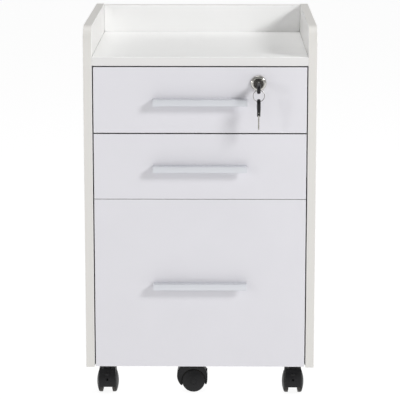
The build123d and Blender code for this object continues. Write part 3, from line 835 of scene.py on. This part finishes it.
def makeRosette():
    low, high = cornersOf("lock_rosette")
    shape = lockShape
    radius = (high[0] - low[0]) / 2 / mm
    rise = (high[1] - low[1]) / mm
    bore, lip, groove, back = (shape[key] for key in ("boreMm", "lipMm", "grooveMm", "backDepthMm"))
    lipFall, lipOut = shape["lipMiddleMm"]
    rim = bore + shape["rimMm"]
    wall = rim + shape["grooveWallMm"]
    # the dome falls to the edge as rise * sqrt(1 - (domeReach d) ** domePower), d from 0 to 1
    d = np.linspace(0.06, 1, 16)[1:]
    start = bore + shape["domeInsetMm"]
    fall = np.sqrt(1 - (shape["domeReach"] * d) ** shape["domePower"])
    profile = np.concatenate([
        [(back, bore + shape["backLandMm"]), (back, bore), (rise - lip, bore)],
        [(rise - lipFall, bore + lipOut), (rise, bore + lip), (rise, rim)],
        [(rise - groove, wall), (rise - groove, wall + shape["grooveFloorMm"])],
        np.stack([rise * fall, start + (radius - start) * d], 1),
        [(0, radius), (0, shape["backBoreMm"]), (back, shape["backBoreMm"])],
    ])
    at = ((low[0] + high[0]) / 2, high[1], (low[2] + high[2]) / 2)
    shell = lathe(profile, at, (0, -1, 0), shape["steps"], closed=True)
    rosette = finishPiece("lock_ring", meshOf("ring", [shell]), nickel, "top_drawer", 28)
    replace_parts(rosette, "lock_rosette")


def makeKeyHead(node, body, pivot, along, side, shutMm):
    # places a along the head, from its root to its ring end; half its width w is sqrt(r ** 2 - a ** 2) on
    # a circle at each end and follows their tangent in between, sin(slope) = (end - root) / apart
    shape = keyShape
    root, end, apart = shape["rootMm"], shape["endMm"], shape["endFromPivotMm"]
    slope = math.asin((end - root) / apart)
    length = root + apart + end
    pole, stations = 0.04, 44
    a = -root + length * (1 - np.cos(np.linspace(pole, math.pi - pole, stations))) / 2
    first, last = -root * math.sin(slope), apart - end * math.sin(slope)
    straight = root * math.cos(slope) + (a - first) * math.tan(slope)
    atRoot = np.sqrt(np.maximum(root ** 2 - a ** 2, 0))
    atEnd = np.sqrt(np.maximum(end ** 2 - (a - apart) ** 2, 0))
    wide = np.where(a < first, atRoot, np.where(a > last, atEnd, straight))
    # half thickness: slim at the root, full at the palm, slim at the ring, then rounded at both ends
    waist, palm, tip = shape["waistMm"], shape["thicknessMm"], shape["ringSideMm"]
    turns = [-root, shape["waistEndMm"], shape["palmStartMm"], shape["palmEndMm"], length - root]
    near = np.clip(np.minimum(a + root, length - root - a) / shape["edgeMm"], 0, 1)
    rounding = np.sqrt(1 - shape["edgeFall"] * (1 - near) ** 2)
    thick = np.interp(a, turns, [waist, waist, palm, palm, tip]) * rounding
    # the section is a rounded square: |x| ** n + |w| ** n = 1, n its squareness
    turn = np.linspace(0, tau, 40, endpoint=False)
    power = 2 / shape["squareness"]
    sx = np.sign(np.cos(turn)) * abs(np.cos(turn)) ** power
    sw = np.sign(np.sin(turn)) * abs(np.sin(turn)) ** power
    along = np.array(along) / np.linalg.norm(along)
    side = np.array(side, float)
    across = np.cross(along, side)
    places = (
        thick[None, :, None] * sx[:, None, None] * side
        + wide[None, :, None] * sw[:, None, None] * across
        + a[None, :, None] * along
    )
    head = meshOf(node, [(pivot + mm * places, True, False, True)])
    # the blade folds into a slot, open on one side and reaching shutMm from the middle on the other
    past, slot, before = shape["slotPastPivotMm"], shape["slotMm"], -root - shape["slotPastRootMm"]
    gap = [(before, -2 * end), (past, -2 * end), (past, shutMm), (before, shutMm)]
    hole = pivot + mm * shape["holeFromPivotMm"] * along
    deep = 3 * palm
    cutters = [prism(gap, -slot, slot, hairMm, pivot, side, along, across)]
    for middle, radius in ((hole, shape["holeMm"]), (pivot, shape["rivetMm"])):
        drill = [(-deep, 0), (-deep, radius), (deep, radius), (deep, 0)]
        cutters.append(lathe(drill, middle, side, steps=40))
    for cutter in cutters:
        head = cutAway(head, [cutter])
    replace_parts(finishPiece(node + "_moulded", head, keyAbs, body, 40), node)
    if shutMm < end:
        # a small bright stud in the narrow edge that shuts the slot
        r, rise, foot = shape["studMm"], shape["studRiseMm"], -shape["studDepthMm"]
        at = pivot + mm * (shape["studFromPivotMm"] * along + (root + shape["studUpMm"]) * across)
        dome = [(rise, 0), (0.9 * rise, 0.5 * r), (0.4 * rise, 0.9 * r), (0, r), (foot, r), (foot, 0)]
        stud = meshOf("stud", [lathe(dome, at, across, steps=24)])
        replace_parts(finishPiece(node + "_stud", stud, nickel, body, 40), node)


def makeRing():
    # a split ring: two turns of wire about Y, side by side; the wire crosses over half way along as
    # spread * tanh(crossing (t - 0.5)), t from 0 to 1
    low, high = cornersOf("key_ring")
    centre = (low + high) / 2
    wire, spread, crossing = (keyShape[key] for key in ("wireMm", "ringSpreadMm", "ringCrossing"))
    radius = (high[0] - low[0]) / 2 / mm - wire
    t = np.linspace(0, 1, 193)
    drift = spread * np.tanh(crossing * (t - 0.5))
    out = np.stack([np.cos(2 * tau * t), 0 * t, np.sin(2 * tau * t)], 1)
    middle = radius * out + np.stack([0 * t, drift, 0 * t], 1)
    turn = np.linspace(0, tau, 12, endpoint=False)
    side = np.array((0.0, 1.0, 0.0))
    wall = np.cos(turn)[:, None, None] * out * wire + np.sin(turn)[:, None, None] * side * wire
    mesh = meshOf("ring", [(centre + mm * (middle[None] + wall), True, False, True)])
    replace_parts(finishPiece("split_ring", mesh, ringSteel, "key_ring", 50), "key_ring")


def makePlugFace():
    # a ring on the front of the plug, two shallow grooves turned in it, clear of the keyway
    low, high = cornersOf("lock_plug")
    at = ((low[0] + high[0]) / 2, low[1], joints["lock_turn"]["pos_m"][2])
    shape = lockShape
    bore, proud, sunk = shape["faceBoreMm"], shape["faceProudMm"], -shape["faceSunkMm"]
    deep = proud - shape["faceGrooveMm"]
    half, floor = shape["faceGrooveHalfMm"], shape["faceGrooveFloorMm"]
    edge = (high[0] - low[0]) / 2 / mm - shape["faceEdgeMm"]
    profile = [(sunk, bore), (proud, bore + shape["faceLeadMm"])]
    for middle in shape["faceGroovesMm"]:
        profile += [(proud, middle - half), (deep, middle - floor)]
        profile += [(deep, middle + floor), (proud, middle + half)]
    profile += [(proud, edge - shape["faceChamferMm"]), (0, edge), (sunk, edge)]
    mesh = meshOf("face", [lathe(profile, at, (0, -1, 0), steps=96, closed=True)])
    finishPiece("plug_face", mesh, darkNickel, "lock_plug", 20)


makeRosette()
makePlugFace()
pivot = np.array(joints["key_fold"]["pos_m"])
hole = np.array(joints["key_ring_swing"]["pos_m"])
makeKeyHead("key_head", "key_head", pivot, hole - pivot, (1, 0, 0), keyShape["slotOpenMm"])
low, high = cornersOf("spare_key_head")
spare = np.array(((low[0] + high[0]) / 2, (low[1] + high[1]) / 2, low[2] + keyShape["rootMm"] * mm))
makeKeyHead("spare_key_head", "spare_key", spare, (0, 0, 1), (-1, 0, 0), keyShape["slotShutMm"])
makeRing()
print("lock and keys")


# Casters: turned wheels with a tread band, hoods with eased edges, collars and pan-head screws

wheelShape = {
    "boreMm": 2.6,
    "boreDepthMm": 6.5,
    "hubMm": 5.2,
    "dishMm": 1.4,
    "dishLeanMm": 0.4,
    "dishFromRimMm": 5.2,
    "shoulderMm": 4.0,
    "shoulderLeanMm": 0.5,
    "treadMm": 7.0,
    "treadDepthMm": 1.2,
    "treadCrownMm": 0.25,
    "treadInsetMm": 0.2,
    "edgeMm": 0.7,
    "stepMm": 0.9,
    "stepGapMm": 0.1,
    "seamMm": 0.3,
    "capMm": 5.5,
    "capGrooveMm": (0.15, 0.5),
    "capGrooveDepthMm": 0.35,
    "capEdgeMm": 0.8,
    "capRiseMm": 0.05,
    "capFlatMm": 2.5,
    "capFallMm": 0.02,
    "steps": 96,
}
casterShape = {
    "hoodEaseMm": 0.35,
    "collarInnerMm": 5.95,
    "collarOuterMm": 6.6,
    "collarGapMm": 0.3,
    "collarChamferMm": 0.3,
    "collarFlareMm": 0.5,
    "plateHalfMm": 19.0,
    "plateMm": 2.5,
    "screwSpacingMm": 28.0,
    "screwHeadMm": 3.8,
    "screwRiseMm": 2.0,
    "screwShankMm": 1.8,
    "screwLengthMm": 11.0,
    "screwPointMm": 0.5,
    "screwPointShare": 0.67,
}


def wheelProfiles(radius, width):
    # (along the axle from the inner face, radius): hub, dished inner wall, seat of the tread, step, the
    # dome as part of a ball, and a cap in a groove; and the tread band, whose crown falls towards both
    # edges as treadCrown (2 t - 1) ** 2, t from 0 to 1
    shape = wheelShape
    edge, tread, inset = shape["edgeMm"], shape["treadMm"], shape["treadInsetMm"]
    seat = radius - shape["treadDepthMm"]
    across = np.linspace(0, 1, 9)
    start = edge + inset
    crown = radius - shape["treadCrownMm"] * (2 * across - 1) ** 2
    top = np.stack([start + (tread - edge - start) * across, crown], 1)
    band = np.concatenate([[(start, seat)], top, [(tread - edge, seat)]])

    bore, hub, depth = shape["boreMm"], shape["hubMm"], shape["boreDepthMm"]
    dish, lean, wall = shape["dishMm"], shape["dishLeanMm"], radius - shape["dishFromRimMm"]
    shoulder = radius - shape["shoulderMm"]
    seam, floor = edge + shape["seamMm"], seat + inset
    inner = [
        (depth, 0), (depth, bore), (0, bore), (0, hub), (dish, hub + lean),
        (dish, wall), (0, wall + lean), (0, shoulder), (edge, shoulder + shape["shoulderLeanMm"]),
        (edge, radius - edge), (seam, radius - edge + inset), (seam, floor), (tread - edge, floor),
    ]
    gap = shape["stepGapMm"]
    lip, rim = tread + edge, radius - edge - gap
    foot = rim - shape["stepMm"]
    step = [(tread - edge, radius - edge + gap), (tread, radius - edge), (tread, foot), (lip, foot)]

    capRadius = shape["capMm"]
    rise = width - lip
    ball = (rim ** 2 + rise ** 2) / (2 * rise)
    out = np.linspace(1, 0, 18) * (rim - capRadius) + capRadius
    dome = np.stack([width - ball + np.sqrt(ball ** 2 - out ** 2), out], 1)
    capTop = dome[-1, 0]
    outer, within = (capRadius - share for share in shape["capGrooveMm"])
    deep = capTop - shape["capGrooveDepthMm"]
    cap = [
        (deep, outer), (deep, within), (capTop + shape["capRiseMm"], capRadius - shape["capEdgeMm"]),
        (width - shape["capFallMm"], shape["capFlatMm"]), (width, 0),
    ]
    return np.concatenate([inner, step, dome, cap]), band


def makeWheels(caster):
    for which in "ab":
        node = f"{caster}_wheel_{which}"
        low, high = cornersOf(node)
        size = high - low
        axle = int(np.argmin(size))
        radius, width = size[2] / 2 / mm, size[axle] / mm
        outwards = np.sign((middleOf(node) - middleOf(caster + "_hood"))[axle])
        axis = np.zeros(3)
        axis[axle] = outwards
        at = middleOf(node)
        at[axle] = low[axle] if outwards > 0 else high[axle]
        body, band = wheelProfiles(radius, width)
        hub = meshOf(node, [lathe(body, at, axis, wheelShape["steps"])])
        tread = meshOf(node, [lathe(band, at, axis, wheelShape["steps"], closed=True)])
        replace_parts(finishPiece(node + "_turned", hub, nylon, node, 24), node)
        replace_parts(finishPiece(node + "_band", tread, treadNylon, node, 30), node)


def easedCopy(node, name, material, body, easeMm):
    # the node's own shape with its loose triangles joined, and its true edges rounded over
    edgeDegrees = 40
    piece = finishPiece(name, nodes[node].data.copy(), material, body, 30)
    ease = piece.modifiers.new("eased edges", "BEVEL")
    ease.width = easeMm * mm
    ease.segments = 2
    ease.limit_method = "ANGLE"
    ease.angle_limit = math.radians(edgeDegrees)
    ease.harden_normals = True
    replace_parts(piece, node)


def makeCollars(name, casters, body):
    # a black sleeve round each kingpin, from just over the hood to the plate
    shape = casterShape
    inner, outer, chamfer = shape["collarInnerMm"], shape["collarOuterMm"], shape["collarChamferMm"]
    flared = outer + shape["collarFlareMm"]
    shells = []
    plate = "drawer_caster_plate" if body == "bottom_drawer" else "caster_plates"
    under = cornersOf(plate)[1][2] - shape["plateMm"] * mm
    for caster in casters:
        x, y = joints[caster + "_swivel"]["pos_m"][:2]
        start = cornersOf(caster + "_hood")[1][2] + shape["collarGapMm"] * mm
        top = (under - start) / mm
        ring = [(0, inner), (0, outer - chamfer), (chamfer, outer), (top, flared), (top, inner)]
        shells.append(lathe(ring, (x, y, start), (0, 0, 1), steps=48, closed=True))
    finishPiece(name, meshOf(name, shells), nylon, body, 30)


def makePlateScrews(node, plates, body):
    # four pan heads under each plate, and their shanks up into the board
    shape = casterShape
    head, rise = shape["screwHeadMm"], shape["screwRiseMm"]
    under = cornersOf(node)[0][2] + rise * mm
    half, shank, tip = shape["screwSpacingMm"] / 2 * mm, shape["screwShankMm"], shape["screwLengthMm"]
    point = (tip, shape["screwPointShare"] * shank)
    pin = [(0, 0), (0, shank), (tip - shape["screwPointMm"], shank), point, (tip, 0)]
    shells = []
    for x, y in plates:
        for sx in (-1, 1):
            for sy in (-1, 1):
                at = (x + sx * half, y + sy * half, under)
                shells.append(crossHead(at, (0, 0, -1), head, rise))
                shells.append(lathe(pin, at, (0, 0, 1), steps=16))
    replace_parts(finishPiece(node + "_cross", meshOf(node, shells), zinc, body), node)


hoodEase = casterShape["hoodEaseMm"]
for caster in casterNames:
    makeWheels(caster)
    easedCopy(caster + "_hood", caster + "_fender", nylon, caster, hoodEase)
makeCollars("caster_collars", casterNames[:4], "case")
makeCollars("drawer_caster_collar", casterNames[4:], "bottom_drawer")
low, high = cornersOf("caster_plates")
half = casterShape["plateHalfMm"] * mm
corners = [(x, y) for x in (low[0] + half, high[0] - half) for y in (low[1] + half, high[1] - half)]
makePlateScrews("caster_plate_screws", corners, "case")
makePlateScrews("drawer_caster_screws", [tuple(middleOf("drawer_caster_plate")[:2])], "bottom_drawer")
print("casters")


# Stage, lights and camera

stageLook = {  # places in metres, powers in watts
    "floorHex": "6A6A6A",
    "floorGlow": 0.92,
    "floorHalf": 12.0,
    "worldStrength": 0.42,
    "zenithShare": 0.3,
    "aim": (0, 0, 0.4),
    "keyFrom": (2.546, -1.9, 2.224),
    "keyPower": 66.0,
    "keySize": 0.9,
    "topFrom": (-0.3, 0.4, 3.2),
    "topPower": 34.0,
    "topSize": 2.4,
    "fillFrom": (-1.6, -1.4, 0.75),
    "fillPower": 4.0,
    "fillSize": 0.25,
}
cameraPlace = {
    "aside": 0.035,  # right of the middle
    "distance": 3.4,  # in front of the drawer fronts
    "height": 1.037,
    "lens": 180.5,
    "aimHeight": 0.3600,
    "aimAside": 0.0,
}


def plainFloor():
    # one flat square far wider than the view
    half = stageLook["floorHalf"]
    corners = [(-half, -half, 0), (half, -half, 0), (half, half, 0), (-half, half, 0)]
    mesh = bpy.data.meshes.new("floor")
    mesh.from_pydata(corners, [], [(0, 1, 2, 3)])
    floor = bpy.data.objects.new("floor", mesh)
    bpy.context.scene.collection.objects.link(floor)
    material = newMaterial("matt white floor")[0]
    mesh.materials.append(finishMaterial(material, {
        "Base Color": linearFromHex(stageLook["floorHex"]),
        "Roughness": 0.9,
        "Emission Color": (1, 1, 1, 1),
        "Emission Strength": stageLook["floorGlow"],
    }))


def softWorld():
    # a white room, full strength at the horizon and dimmer overhead
    world = bpy.data.worlds.new("soft white room")
    world.use_nodes = True
    world.node_tree.nodes.clear()
    full = stageLook["worldStrength"]
    way = addNode(world, "ShaderNodeTexCoord")
    parts = addNode(world, "ShaderNodeSeparateXYZ", {"Vector": way.outputs["Generated"]})
    strength = addNode(
        world,
        "ShaderNodeMapRange",
        {"Value": parts.outputs["Z"], "To Min": full, "To Max": full * stageLook["zenithShare"]},
    )
    white = addNode(world, "ShaderNodeBackground", {"Color": (1, 1, 1, 1), "Strength": strength.outputs[0]})
    addNode(world, "ShaderNodeOutputWorld", {"Surface": white.outputs[0]})
    bpy.context.scene.world = world


def areaLight(name):
    look = stageLook
    data = bpy.data.lights.new(name, "AREA")
    data.shape = "DISK"
    data.size = look[name + "Size"]
    data.energy = look[name + "Power"]
    lamp = bpy.data.objects.new(name + " light", data)
    bpy.context.scene.collection.objects.link(lamp)
    lamp.location = look[name + "From"]
    toward = Vector(look["aim"]) - Vector(look[name + "From"])
    lamp.rotation_euler = toward.to_track_quat("-Z", "Y").to_euler()


def placeCamera():
    look = cameraPlace
    frontY = cornersOf("top_drawer_front")[0][1]
    data = bpy.data.cameras.new("camera")
    data.lens = look["lens"]
    camera = bpy.data.objects.new("camera", data)
    bpy.context.scene.collection.objects.link(camera)
    camera.location = (look["aside"], frontY - look["distance"], look["height"])
    aim = Vector((look["aimAside"], frontY, look["aimHeight"]))
    camera.rotation_euler = (aim - camera.location).to_track_quat("-Z", "Y").to_euler()
    bpy.context.scene.camera = camera


plainFloor()
softWorld()
for name in ("key", "top", "fill"):
    areaLight(name)
placeCamera()
bpy.context.scene.view_settings.view_transform = "Standard"
print("stage, lights and camera")
